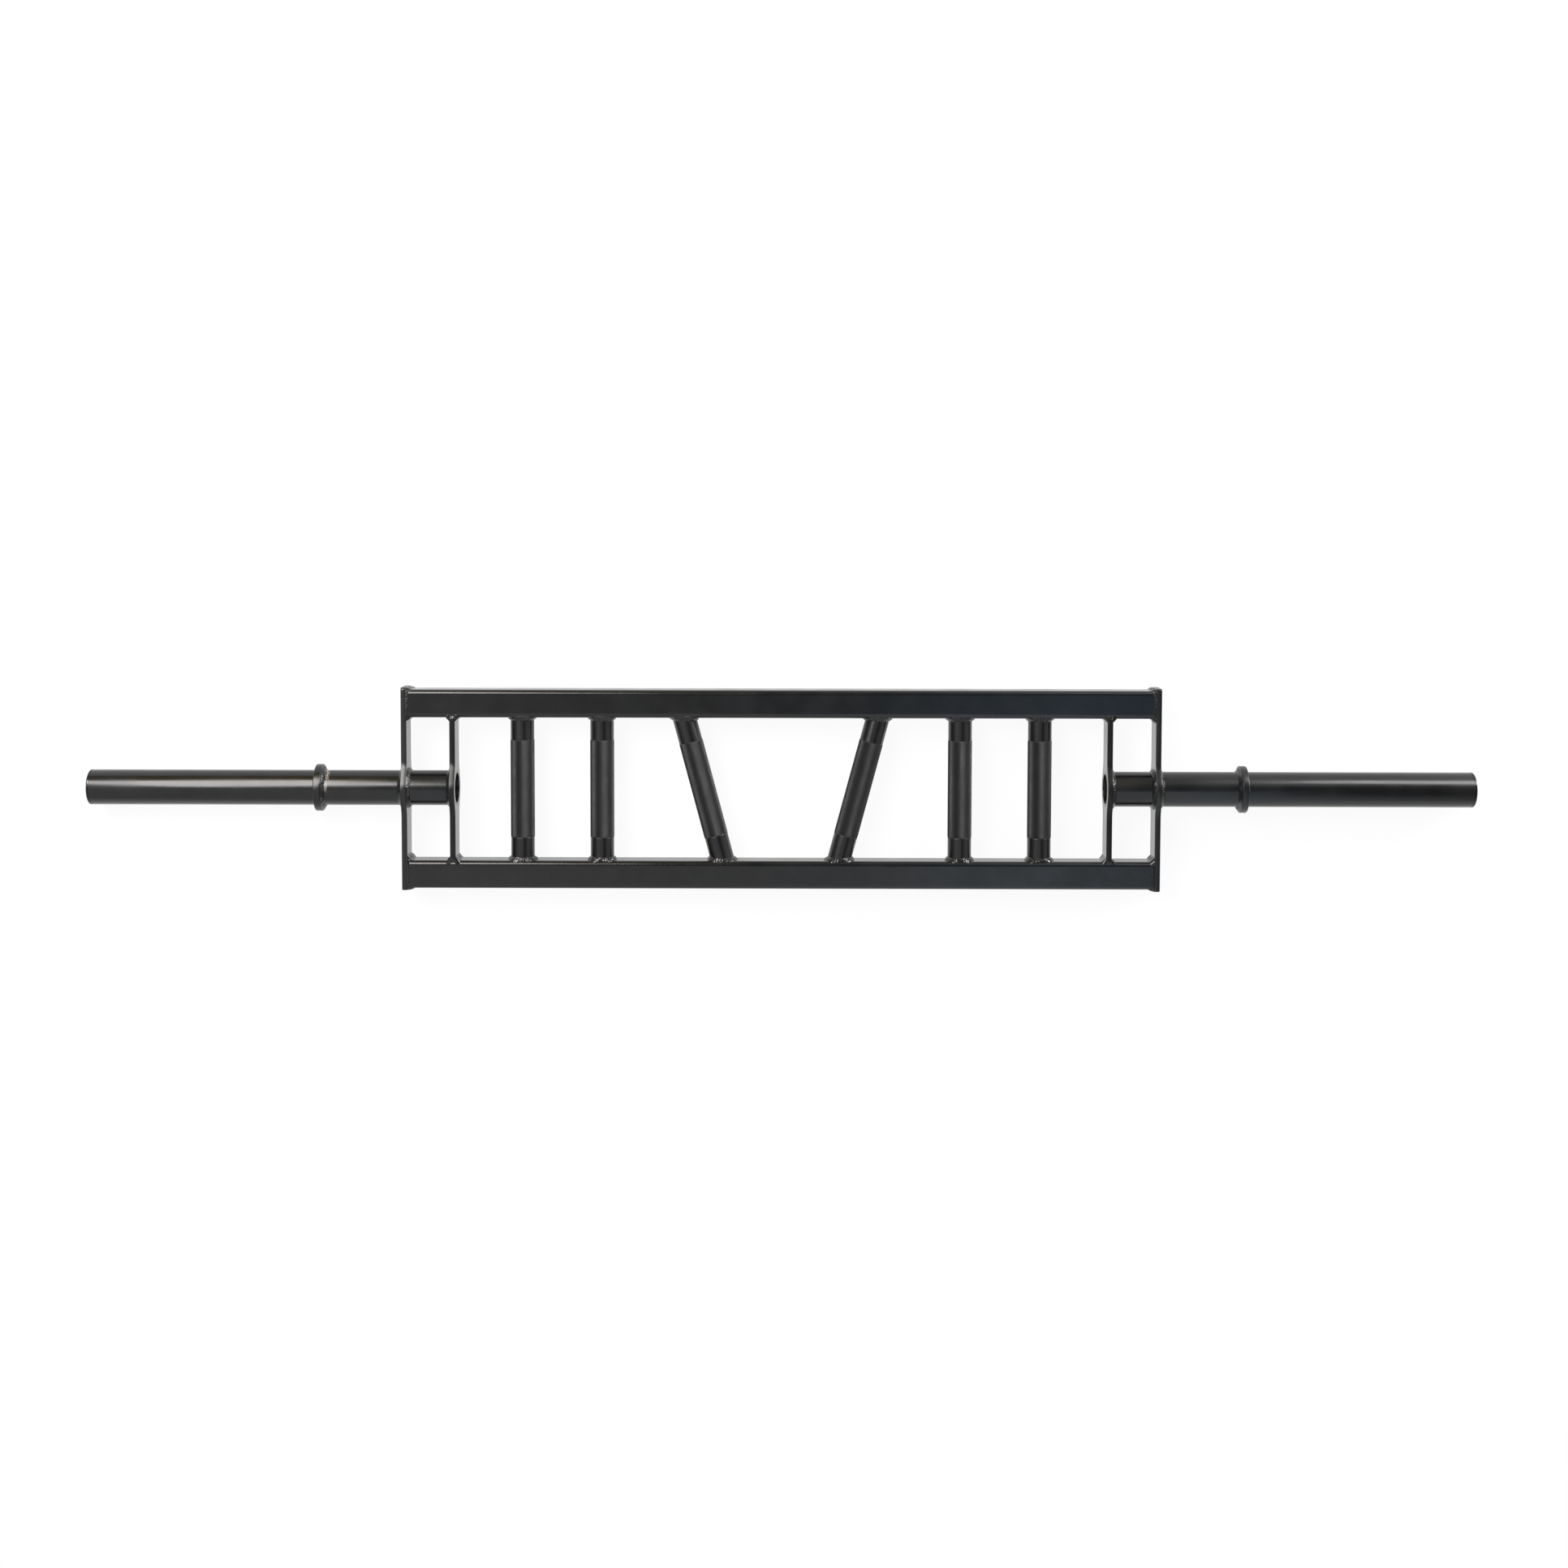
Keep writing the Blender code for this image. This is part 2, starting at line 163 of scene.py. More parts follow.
powderLook = {
    "deep": (0.0024, 0.0025, 0.0028), "pale": (0.0050, 0.0049, 0.0050), "cloudScale": 34.0,
    "dust": (0.06, 0.057, 0.052), "dustScale": 900.0, "dustShare": 0.80, "dustEdge": 0.05,
    "roughness": (0.13, 0.20), "smudgeScale": 19.0, "noiseSpread": (0.3, 0.7),
    "streak": None, "streakGloss": 0.0, "streakSpread": (0.35, 0.65),
    "facesSmoother": 0.0, "faceTurn": (0.6, 0.95),
    "peelScale": 520.0, "grainScale": 1700.0, "grainShare": 0.35,
    "peelHeight": 0.00009, "peelStrength": 0.3, "bends": 1.5,
}


def coatFields(tree, place, look):
    # near-black colour drifting in wide clouds with rare dust specks, a roughness drifting in
    # smudges and drawn-out streaks and lower on rolled faces square to X than on cut edges, and
    # the height of the fine dimpled skin of baked powder
    cloud = ranged(tree, noiseOf(tree, place, look["cloudScale"], 4.0), *look["noiseSpread"])
    colour = mixOf(tree, cloud, look["deep"], look["pale"])
    dust = ranged(tree, noiseOf(tree, place, look["dustScale"], 1.0), look["dustShare"],
                  look["dustShare"] + look["dustEdge"])
    colour = mixOf(tree, dust, colour, look["dust"])
    gloss = ranged(tree, noiseOf(tree, place, look["smudgeScale"], 3.0), *look["noiseSpread"],
                   look["roughness"], True)
    if look["streak"]:
        drawn = addNode(tree, "ShaderNodeMapping", {"Vector": place, "Scale": look["streak"]})
        streaks = ranged(tree, noiseOf(tree, drawn.outputs["Vector"], 1.0, 2.0),
                         *look["streakSpread"], (0.0, look["streakGloss"]))
        gloss = mathOf(tree, "ADD", gloss, streaks)
    if look["facesSmoother"]:
        normal = addNode(tree, "ShaderNodeTexCoord").outputs["Normal"]
        across = addNode(tree, "ShaderNodeSeparateXYZ", {0: normal}).outputs["X"]
        onFace = ranged(tree, mathOf(tree, "ABSOLUTE", across), *look["faceTurn"],
                        (0.0, look["facesSmoother"]))
        gloss = mathOf(tree, "SUBTRACT", gloss, onFace)
    peel = noiseOf(tree, place, look["peelScale"], 2.0)
    grain = noiseOf(tree, place, look["grainScale"], 1.0)
    skin = mathOf(tree, "ADD", peel, mathOf(tree, "MULTIPLY", grain, look["grainShare"]))
    return colour, gloss, skin


def finishCoat(tree, shader, look, colour, gloss, skin):
    # the three fields on the shader, with the look's own height of skin and strength of shine
    bump = addNode(tree, "ShaderNodeBump", {"Height": skin, "Distance": look["peelHeight"],
                                            "Strength": look["peelStrength"]})
    tree.links.new(colour, shader.inputs["Base Color"])
    tree.links.new(gloss, shader.inputs["Roughness"])
    tree.links.new(bump.outputs["Normal"], shader.inputs["Normal"])
    shader.inputs["Metallic"].default_value = 0.0
    shader.inputs["IOR"].default_value = look["bends"]


def powderCoat(name, look, rings=()):
    # one coat all over, with a scuffed band round the bar at the X of each ring
    material, tree, shader = newCoat(name)
    place = addNode(tree, "ShaderNodeTexCoord").outputs["Object"]
    colour, gloss, skin = coatFields(tree, place, look)
    for ring in rings:
        worn = scuffRing(tree, place, ring)
        colour = mixOf(tree, worn, colour, ring["colour"])
        gloss = mathOf(tree, "ADD", gloss, mathOf(tree, "MULTIPLY", worn, ring["rougher"]))
    finishCoat(tree, shader, look, colour, gloss, skin)
    return material


def handleCoat(name, grip, plain):
    # the grip's coat and the plain tube's coat, shared out by the onGrip mark of each point
    material, tree, shader = newCoat(name)
    place = addNode(tree, "ShaderNodeTexCoord").outputs["Object"]
    share = addNode(tree, "ShaderNodeAttribute", attribute_name="onGrip").outputs["Fac"]
    gripColour, gripGloss, gripSkin = coatFields(tree, place, grip)
    colour, gloss, skin = coatFields(tree, place, plain)
    colour = mixOf(tree, share, colour, gripColour)
    gloss = addNode(tree, "ShaderNodeMix", {0: share, 2: gloss, 3: gripGloss}).outputs[0]
    skin = addNode(tree, "ShaderNodeMix", {0: share, 2: skin, 3: gripSkin}).outputs[0]
    finishCoat(tree, shader, plain, colour, gloss, skin)
    bends = addNode(tree, "ShaderNodeMix", {0: share, 2: plain["bends"], 3: grip["bends"]})
    tree.links.new(bends.outputs[0], shader.inputs["IOR"])
    return material


scuffFade = {"above": 0.004, "broken": 0.12}  # fading in: metres above the lowest Y, noise level


def scuffRing(tree, place, ring):
    # one minus distance from the ring's X over its half width, broken up by noise drawn out round
    # the bar, and only above the ring's lowest Y
    axes = addNode(tree, "ShaderNodeSeparateXYZ", {0: place}).outputs
    away = mathOf(tree, "ABSOLUTE", mathOf(tree, "SUBTRACT", axes["X"], ring["at"]))
    above = ranged(tree, axes["Y"], ring["lowest"], ring["lowest"] + scuffFade["above"])
    band = ranged(tree, away, ring["halfWidth"], 0.0, (0.0, 1.0), True)
    drawn = addNode(tree, "ShaderNodeMapping", {"Vector": place, "Scale": ring["stretch"]})
    broken = ranged(tree, noiseOf(tree, drawn.outputs["Vector"], 1.0, 3.0, 0.65), ring["from"],
                    ring["from"] + scuffFade["broken"])
    worn = mathOf(tree, "MULTIPLY", mathOf(tree, "MULTIPLY", band, broken), ring["strength"])
    return mathOf(tree, "MULTIPLY", worn, above)


scuffs = [
    {"at": -0.6487, "halfWidth": 0.0010, "stretch": (700.0, 110.0, 110.0), "from": 0.46,
     "strength": 0.9, "colour": (0.40, 0.36, 0.32), "rougher": 0.1, "lowest": -0.0045},
    {"at": -0.6467, "halfWidth": 0.0009, "stretch": (900.0, 60.0, 60.0), "from": 0.45,
     "strength": 0.8, "colour": (0.42, 0.38, 0.33), "rougher": 0.1, "lowest": -0.0060},
    {"at": -0.6446, "halfWidth": 0.0005, "stretch": (1100.0, 40.0, 40.0), "from": 0.47,
     "strength": 0.5, "colour": (0.36, 0.33, 0.30), "rougher": 0.1, "lowest": 0.0100},
    {"at": -0.6476, "halfWidth": 0.0024, "stretch": (420.0, 150.0, 150.0), "from": 0.52,
     "strength": 0.75, "colour": (0.42, 0.37, 0.32), "rougher": 0.15, "lowest": 0.0010},
    {"at": 0.6652, "halfWidth": 0.0012, "stretch": (700.0, 60.0, 60.0), "from": 0.52,
     "strength": 0.5, "colour": (0.30, 0.29, 0.28), "rougher": 0.1, "lowest": 0.0},
]

sleeveLook = dict(powderLook, roughness=(0.19, 0.26))
plateLook = dict(powderLook, roughness=(0.24, 0.31), streak=(110.0, 9.0, 110.0),
                 streakGloss=0.03, facesSmoother=0.15)
innerPlateLook = dict(plateLook, bends=1.38)
collarLook = dict(powderLook, roughness=(0.25, 0.33))
gripLook = dict(powderLook, deep=(0.0034, 0.0035, 0.0038), pale=(0.0066, 0.0066, 0.0069),
                roughness=(0.40, 0.48), peelScale=900.0, smudgeScale=60.0, bends=1.42)
beadLook = dict(powderLook, deep=(0.0030, 0.0031, 0.0034), pale=(0.0080, 0.0078, 0.0076),
                cloudScale=240.0, roughness=(0.11, 0.21), smudgeScale=170.0, peelScale=520.0,
                peelHeight=0.00022, peelStrength=0.45, dustShare=0.77, dust=(0.12, 0.115, 0.11))
tubeBeadLook = dict(beadLook, roughness=(0.10, 0.18), peelScale=370.0, peelHeight=0.00060,
                    peelStrength=0.7)
capLook = dict(powderLook, deep=(0.0040, 0.0040, 0.0042), pale=(0.0058, 0.0058, 0.0060),
               roughness=(0.08, 0.16), peelScale=140.0, peelStrength=0.06)

powder = powderCoat("satinBlackPowder", powderLook)
sleevePowder = powderCoat("satinBlackPowderScuffed", sleeveLook, scuffs)
platePowder = {"outer": powderCoat("satinBlackPowderDrawn", plateLook),
               "inner": powderCoat("satinBlackPowderDrawnThin", innerPlateLook)}
collarPowder = powderCoat("satinBlackPowderTurned", collarLook, scuffs)
gripCoat = handleCoat("coatedKnurling", gripLook, sleeveLook)
beadCoat = powderCoat("coatedWeld", beadLook)
tubeBeadCoat = powderCoat("coatedWeldSparkling", tubeBeadLook)
capPlastic = powderCoat("glossBlackPlastic", capLook)
print("coats made")

# rails
rail = {"half": 0.5327, "width": 0.040, "wall": 0.003, "corner": 0.006, "face": 0.1025,
        "cornerSteps": 9, "support": 0.0012, "endEase": 0.0004, "dropLimit": 0.98}
railFlat = rail["width"] / 2 - rail["corner"]
railCentre = rail["face"] + rail["width"] / 2


def squareRound(offset):
    # a square with quarter-circle corners, moved out by the offset, with one more point near each
    # end of the flats
    outline, outward = [], []
    for quarter in range(4):
        angles = np.radians(np.linspace(0, 90, rail["cornerSteps"]) + 90 * quarter)
        out = np.stack([np.cos(angles), np.sin(angles)], axis=1)
        corner = railFlat * np.sqrt(2) * np.array([np.cos(np.pi / 4 + np.pi / 2 * quarter),
                                                   np.sin(np.pi / 4 + np.pi / 2 * quarter)])
        arc = corner + (rail["corner"] + offset) * out
        before = arc[0] + rail["support"] * np.array([out[0, 1], -out[0, 0]])
        after = arc[-1] + rail["support"] * np.array([-out[-1, 1], out[-1, 0]])
        outline += [before, *arc, after]
        outward += [out[0], *out, out[-1]]
    return np.array(outline), np.array(outward)


def railTube(side):
    # the rounded square carried along X: out along the skin, over an eased edge, back along the
    # bore
    half, ease = rail["half"], rail["endEase"]
    rows = [(-half, -ease), (-half + ease, 0), (half - ease, 0), (half, -ease),
            (half, -rail["wall"]), (-half, -rail["wall"])]
    grid = []
    for x, offset in rows:
        outline, _ = squareRound(offset)
        grid.append(np.column_stack([np.full(len(outline), x),
                                     outline[:, 0] + side * railCentre, outline[:, 1]]))
    return np.array(grid)


for sideName, side in sides.items():
    addPiece(sideName + "Rail", railTube(side), powder, [sideName + "_rail"])
print("rails made")

# plates
plate = {"thick": 0.008, "hub": 0.032, "slope": 23.0, "fillet": 0.030, "bore": 0.02505,
         "outerFace": 0.533, "innerFace": 0.464, "outerHalf": 0.1455, "innerHalf": 0.1022,
         "outerCorner": 0.0032, "innerCorner": 0.0012, "edge": 0.0007, "edgeSteps": 4,
         "faceInset": 1.4, "stripMargin": 0.002, "flatPoints": 8, "arcPoints": 9,
         "cornerPoints": 7}


def plateOutline(halfLength, corner):
    # a strip as wide as the rails that swells to a round hub: from the strip a wide fillet, a
    # straight flank at the slope, then the arc round the middle, and at the strip's ends small
    # round corners
    half, hub, fillet = rail["width"] / 2, plate["hub"], plate["fillet"]
    slope, margin, count = np.radians(plate["slope"]), plate["stripMargin"], plate["flatPoints"]
    foot = (hub + fillet - (half + fillet) * np.cos(slope)) / np.sin(slope)
    quarter = [arcPoints((halfLength - corner, half - corner), corner, 0, 90,
                         plate["cornerPoints"])]
    strip = np.linspace(halfLength - corner - margin, foot + margin, count)
    quarter.append(np.column_stack([strip, np.full(count, half)]))
    quarter.append(arcPoints((foot, half + fillet), fillet, 270, 270 - plate["slope"],
                             plate["arcPoints"]))
    top = hub * np.array([np.sin(slope), np.cos(slope)])
    quarter.append(np.linspace(quarter[-1][-1], top, count)[1:-1])
    quarter.append(arcPoints((0, 0), hub, 90 - plate["slope"], 90, plate["arcPoints"]))
    right = np.concatenate(quarter)
    upper = np.concatenate([right, (right * [-1, 1])[-2::-1]])
    return np.concatenate([upper, -upper])


def outlineNormals(outline):
    # across the line between the two neighbours of each point
    along = np.roll(outline, -1, axis=0) - np.roll(outline, 1, axis=0)
    return unit(np.stack([along[:, 1], -along[:, 0]], axis=1))


def plateSurface(face, thickness, halfLength, corner, sign):
    # the outline carried from the bore out over one face, round an eased edge and back over the
    # other face
    outline = plateOutline(halfLength, corner)
    normals = outlineNormals(outline)
    if np.mean(np.sum(normals * outline, axis=1)) < 0:
        normals = -normals
    boreRing = unit(outline)
    ease = plate["edge"]
    rows = [(0.0, "bore", ease / 2), (0.0, "rim", -ease * plate["faceInset"])]
    for angle in np.radians(np.linspace(0, 90, plate["edgeSteps"])):
        rows.append((ease * (1 - np.cos(angle)), "rim", -ease * (1 - np.sin(angle))))
    back = [(thickness - x, kind, offset) for x, kind, offset in reversed(rows)]
    grid = []
    for x, kind, offset in rows + back:
        if kind == "bore":
            flat = boreRing * (plate["bore"] + offset)
        else:
            flat = outline + normals * offset
        grid.append(np.column_stack([np.full(len(flat), sign * (face + x)), flat]))
    straight = boreRing * plate["bore"]
    for x in (thickness - ease / 2, ease / 2):
        grid.append(np.column_stack([np.full(len(straight), sign * (face + x)), straight]))
    return np.array(grid)


for endName, sign in ends.items():
    for kind in ("outer", "inner"):
        surface = plateSurface(plate[kind + "Face"], plate["thick"], plate[kind + "Half"],
                               plate[kind + "Corner"], sign)
        addPiece(endName + kind.title() + "Plate", surface, platePowder[kind],
                 [endName + "_" + kind + "_plate"])
print("plates made")

# sleeves, collars and caps
sleeve = {"radius": 0.025, "wall": 0.0035, "start": 0.4639, "end": 0.9867, "ease": 0.0005,
          "columns": 128}
collar = {"face": 0.655, "width": 0.010, "step": 0.0085, "bore": 0.02503, "ease": 0.0009,
          "cut": 0.0003, "columns": 144, "smoothBelow": 30}
cap = {"face": 0.990, "flange": 0.003, "proud": 0.00015, "round": 0.0021, "roundPoints": 8,
       "lip": 0.0003, "dish": 0.0004, "dishStep": 0.4, "dishEnds": (0.55, 0.76, 0.84),
       "middle": 0.00001, "stem": 0.020, "stemGap": 0.0001, "stemWall": 0.002, "ribs": 3,
       "rib": 0.0012, "ribFoot": 0.0024, "ribTop": 0.0022, "columns": 128}


def eased(profile, cut, steps=4):
    # each corner of a closed profile swapped for a short curve: a quadratic between points at the
    # cut from the corner
    rounded = []
    count = len(profile)
    for k in range(count):
        here = profile[k]
        before = unit(profile[k - 1] - here) * cut + here
        after = unit(profile[(k + 1) % count] - here) * cut + here
        for t in np.linspace(0, 1, steps):
            rounded.append((1 - t) ** 2 * before + 2 * t * (1 - t) * here + t ** 2 * after)
    return np.array(rounded)


def sleeveSurface(sign):
    # a hollow cylinder with both edges of each end eased
    outer, inner = sleeve["radius"], sleeve["radius"] - sleeve["wall"]
    corners = np.array([(sleeve["start"], outer), (sleeve["end"], outer), (sleeve["end"], inner),
                        (sleeve["start"], inner)])
    return turned(eased(corners, sleeve["ease"]), sleeve["columns"], sign)


def collarSurface(sign):
    # a ring with a chamfer, softened by the coat, on both outer edges
    near, far = collar["face"], collar["face"] + collar["width"]
    top, ease = sleeve["radius"] + collar["step"], collar["ease"]
    corners = np.array([(near, collar["bore"]), (near, top - ease), (near + ease, top),
                        (far - ease, top), (far, top - ease), (far, collar["bore"])])
    return turned(eased(corners, collar["cut"]), collar["columns"], sign)


def capSurface(sign):
    # a disc with a rounded rim and a shallow dish, and a hollow ribbed stem behind it
    face, back, lip = cap["face"], cap["face"] - cap["flange"], cap["lip"]
    outer = sleeve["radius"] + cap["proud"]
    tip = sleeve["radius"] - sleeve["wall"] - cap["stemGap"]
    root = tip - cap["rib"]
    flat, bend, edge = cap["dishEnds"]
    rim = arcPoints((face - cap["round"], outer - cap["round"]), cap["round"], 0, 90,
                    cap["roundPoints"])
    profile = [(face - cap["dish"], cap["middle"]), (face - cap["dish"], outer * flat),
               (face - cap["dish"] * cap["dishStep"], outer * bend), (face, outer * edge)]
    profile += [tuple(point) for point in rim]
    profile += [(back + lip, outer), (back, outer - lip), (back, root)]
    for k in range(1, cap["ribs"] + 1):
        place = back - k * cap["stem"] / (cap["ribs"] + 1)
        profile += [(place + cap["ribFoot"], root), (place + cap["ribTop"], tip), (place, root)]
    profile += [(back - cap["stem"], root), (back - cap["stem"], root - cap["stemWall"]),
                (back, root - cap["stemWall"]), (back, cap["middle"])]
    return turned(np.array(profile), cap["columns"], sign)


for endName, sign in ends.items():
    addPiece(endName + "Sleeve", sleeveSurface(sign), sleevePowder,
             [endName + "_sleeve_tube"])
    addPiece(endName + "Collar", collarSurface(sign), collarPowder,
             [endName + "_collar"], smoothBelow=collar["smoothBelow"])
    addPiece(endName + "Cap", capSurface(sign), capPlastic,
             [endName + "_end_cap"])
print("sleeves, collars and caps made")

# handles
handle = {"radius": 0.01685, "wall": 0.0032, "grip": 0.070, "runIn": 0.0012, "crest": 0.00033,
          "valley": -0.00012, "shoulder": 0.00035, "endGap": 0.0001, "columns": 142, "rows": 108,
          "smoothBelow": 18}
handlePlaces = {"OuterHandle": (0.370, 0.0), "InnerHandle": (0.256, 0.0),
                "AngledHandle": (0.111, 15.0)}  # middle along X, lean in degrees


def handleSurface(middle, lean):
    # a tube along a leaning axis. On the grip the radius is high at every other point of a close
    # grid, which makes a four-sided point between two sets of crossing grooves. Both ends are cut
    # parallel to the rails.
    angles = np.linspace(0, 2 * np.pi, handle["columns"], endpoint=False)
    base, grip = handle["radius"], handle["grip"]
    end = rail["face"] - handle["endGap"]
    along = np.linspace(-grip, grip, handle["rows"] + 1)
    parity = (np.arange(len(along))[:, None] + np.arange(handle["columns"])[None, :]) % 2
    rise = np.clip((grip - np.abs(along)) / handle["runIn"], 0, 1)[:, None]
    radius = base + handle["valley"] + (handle["crest"] - handle["valley"]) * parity * rise
    rows = [(np.full(handle["columns"], along[k]), radius[k]) for k in range(len(along))]
    plain = np.full(handle["columns"], base)
    bore = np.full(handle["columns"], base - handle["wall"])
    slant = np.radians(lean)

    def cut(side, r):
        return (side * end + r * np.cos(angles) * np.sin(slant)) / np.cos(slant)

    past = grip + handle["shoulder"]
    low, high = cut(-1, plain), cut(1, plain)
    first = [(low, plain), (low * 0.5 - grip * 0.5, plain), (np.full_like(plain, -past), plain)]
    last = [(np.full_like(plain, past), plain), (high * 0.5 + grip * 0.5, plain), (high, plain)]
    inside = [(cut(1, bore), bore), (cut(-1, bore), bore)]
    everything = first + rows + last + inside
    a = np.array([row[0] for row in everything])
    r = np.array([row[1] for row in everything])
    across = r * np.cos(angles)
    x = middle + across * np.cos(slant) + a * np.sin(slant)
    y = -across * np.sin(slant) + a * np.cos(slant)
    onGrip = np.zeros(a.shape)
    onGrip[len(first):len(first) + len(rows)] = 1
    return np.stack([x, y, r * np.sin(angles)], axis=-1), onGrip, len(first), len(rows)


def knurledFaces(rows, columns, firstGrip, gripRows):
    # grid faces, with those of the grip split along the grooves that join two low corners
    quads = gridQuads(rows, columns, True)
    row = np.repeat(np.arange(rows), columns)
    column = np.tile(np.arange(columns), rows)
    onGrip = (row >= firstGrip) & (row < firstGrip + gripRows - 1)
    even = (row - firstGrip + column) % 2 == 0
    one, two, rest = quads[onGrip & even], quads[onGrip & ~even], quads[~onGrip]
    return np.concatenate([one[:, [0, 1, 2]], one[:, [0, 2, 3]], two[:, [0, 1, 3]],
                           two[:, [1, 2, 3]], rest[:, [0, 1, 2]], rest[:, [0, 2, 3]]])


for endName, sign in ends.items():
    for kind, (middle, lean) in handlePlaces.items():
        grid, onGrip, firstGrip, gripRows = handleSurface(sign * middle, sign * lean)
        faces = knurledFaces(grid.shape[0], grid.shape[1], firstGrip, gripRows)
        node = endName + "_" + kind.replace("Handle", "_handle").lower()
        addPiece(endName + kind, grid, gripCoat, [node], faces=faces,
                 smoothBelow=handle["smoothBelow"], onGrip=onGrip)
print("handles made")

# welds
weld = {"across": 17, "step": 0.00042, "width": 0.007, "crescent": 0.45, "legClip": (0.70, 1.25),
        "sizeClip": (0.2, 1.9), "windowPower": 0.75, "trough": 0.03, "middle": 0.65,
        "waveFall": 0.7, "sink": 0.0003, "bury": 0.0012, "edge": 0.0197, "tubeRise": 0.002,
        "smoothBelow": 70}
# Each field on a bead drifts by a size, in waves from a shortest to a longest length, so many.
waves = {"leg": (0.08, 0.012, 0.04, 10), "phase": (0.25, 0.010, 0.03, 10),
         "size": (0.5, 0.009, 0.03, 10), "lump": (0.00009, 0.004, 0.012, 30),
         "speck": (0.000036, 0.0019, 0.0034, 30), "swell": (0.3, 0.010, 0.03, 8)}
handleBead = {"rail": 0.0050, "handle": 0.0048, "crown": 0.0004, "pitch": 0.0044,
              "ripple": 0.00038, "edge": 0.0188, "longer": 1.1}
plateBead = {"rail": 0.0054, "plate": 0.0054, "frontRail": -0.0012, "frontPlate": 0.0030,
             "crown": 0.0003, "pitch": 0.0042, "ripple": 0.00024, "rootEdge": 0.0175,
             "cornerPoints": 6}
endBead = {"inside": (0.0062, 0.0062), "front": {"left": (0.0024, 0.0012),
                                                 "right": (0.0048, 0.0016)},
           "outside": {"lower": (0.0100, 0.0052), "upper": (0.0072, 0.0052)}, "top": 0.0025,
           "crown": (0.0005, 0.0002, 0.0012), "reach": 0.14545, "pitch": 0.0032,
           "ripple": 0.00028, "frontVigour": {"leftupper": 0.35, "leftlower": 0.08,
                                              "rightupper": 1.5, "rightlower": 0.3}}
tubeBead = {"tube": 0.0048, "plate": 0.0048, "crown": 0.0003, "pitch": 0.0035, "ripple": 0.00030}
collarBead = {"tube": 0.0046, "plate": 0.0066, "crown": 0.0001, "pitch": 0.0034,
              "ripple": 0.00034}


def lumpy(rng, s, t, length, field):
    # a sum of cosine waves over the bead in all directions and of many lengths, each a whole
    # number of turns along it, divided by its own spread and times the field's size
    amount, shortest, longest, count = waves[field]
    total = np.zeros(np.broadcast(s, t).shape)
    strength = 0.0
    for wave in np.exp(rng.uniform(np.log(shortest), np.log(longest), count)):
        heading = rng.uniform(-np.pi / 2, np.pi / 2)
        turnsAlong = max(1, round(length / wave * np.cos(heading)))
        turnsAcross = weld["width"] / wave * np.sin(heading)
        size = (wave / longest) ** weld["waveFall"]
        total += size * np.cos(2 * np.pi * (turnsAlong * s + turnsAcross * t + rng.uniform()))
        strength += size ** 2 / 2
    return amount * (total / np.sqrt(strength))


def beadSurface(seed, toeA, toeB, root, out, crown, bead, vigour=1.0):
    # a closed band along a joint. Each section goes from a toe on one piece to a toe on the other
    # with a crowned face, and closes through a point buried in the joint. Ripples are round on top
    # and narrow between, the root of the squared sine plus a little, of the way along plus the
    # square of the way across, at a drifting pitch. The vigour scales them.
    rng = np.random.default_rng(seed)
    count = len(root)
    length = np.linalg.norm(np.roll(root, -1, axis=0) - root, axis=1).sum()
    s = np.arange(count)[:, None] / count
    t = np.linspace(0, 1, weld["across"])[None, :]
    drift = 1 + lumpy(rng, s, np.zeros((1, 1)), length, "leg")
    a = root + (toeA - root) * np.clip(drift, *weld["legClip"])
    drift = 1 + lumpy(rng, s, np.zeros((1, 1)), length, "leg")
    b = root + (toeB - root) * np.clip(drift, *weld["legClip"])
    window = np.sin(np.pi * t) ** weld["windowPower"]
    ripples = round(length / bead["pitch"])
    phase = ripples * s + weld["crescent"] * (2 * t - 1) ** 2
    phase = phase + lumpy(rng, s, t * 0, length, "phase")
    ripple = np.sqrt(np.sin(np.pi * phase) ** 2 + weld["trough"]) - weld["middle"]
    size = np.clip(1 + lumpy(rng, s, t, length, "size"), *weld["sizeClip"])
    lumps = lumpy(rng, s, t, length, "lump")
    lumps = lumps + lumpy(rng, s, t, length, "speck")
    swell = 1 + lumpy(rng, s, t * 0, length, "swell")
    height = crown[:, None] * 4 * t * (1 - t) * swell
    relief = window * np.reshape(vigour, (-1, 1)) * (bead["ripple"] * ripple * size + lumps)
    height = height + relief
    face = a[:, None] * (1 - t[..., None]) + b[:, None] * t[..., None]
    face = face + out[:, None] * height[..., None]
    start = a - out * weld["sink"]
    finish = b - out * weld["sink"]
    buried = root - out * weld["bury"]
    return np.concatenate([start[:, None], face, finish[:, None], buried[:, None]], axis=1)


def railDrop(z):
    # how far the rail's side lies behind its flat face at a height: zero on the flat, then a
    # quarter circle
    past = np.clip(np.abs(z) - railFlat, 0, rail["corner"] * rail["dropLimit"])
    return rail["corner"] - np.sqrt(rail["corner"] ** 2 - past ** 2)


def onRail(x, z, side):
    # the point of the rail's inner face at x and z
    return np.stack([x, side * (rail["face"] + railDrop(z)), z], axis=1)


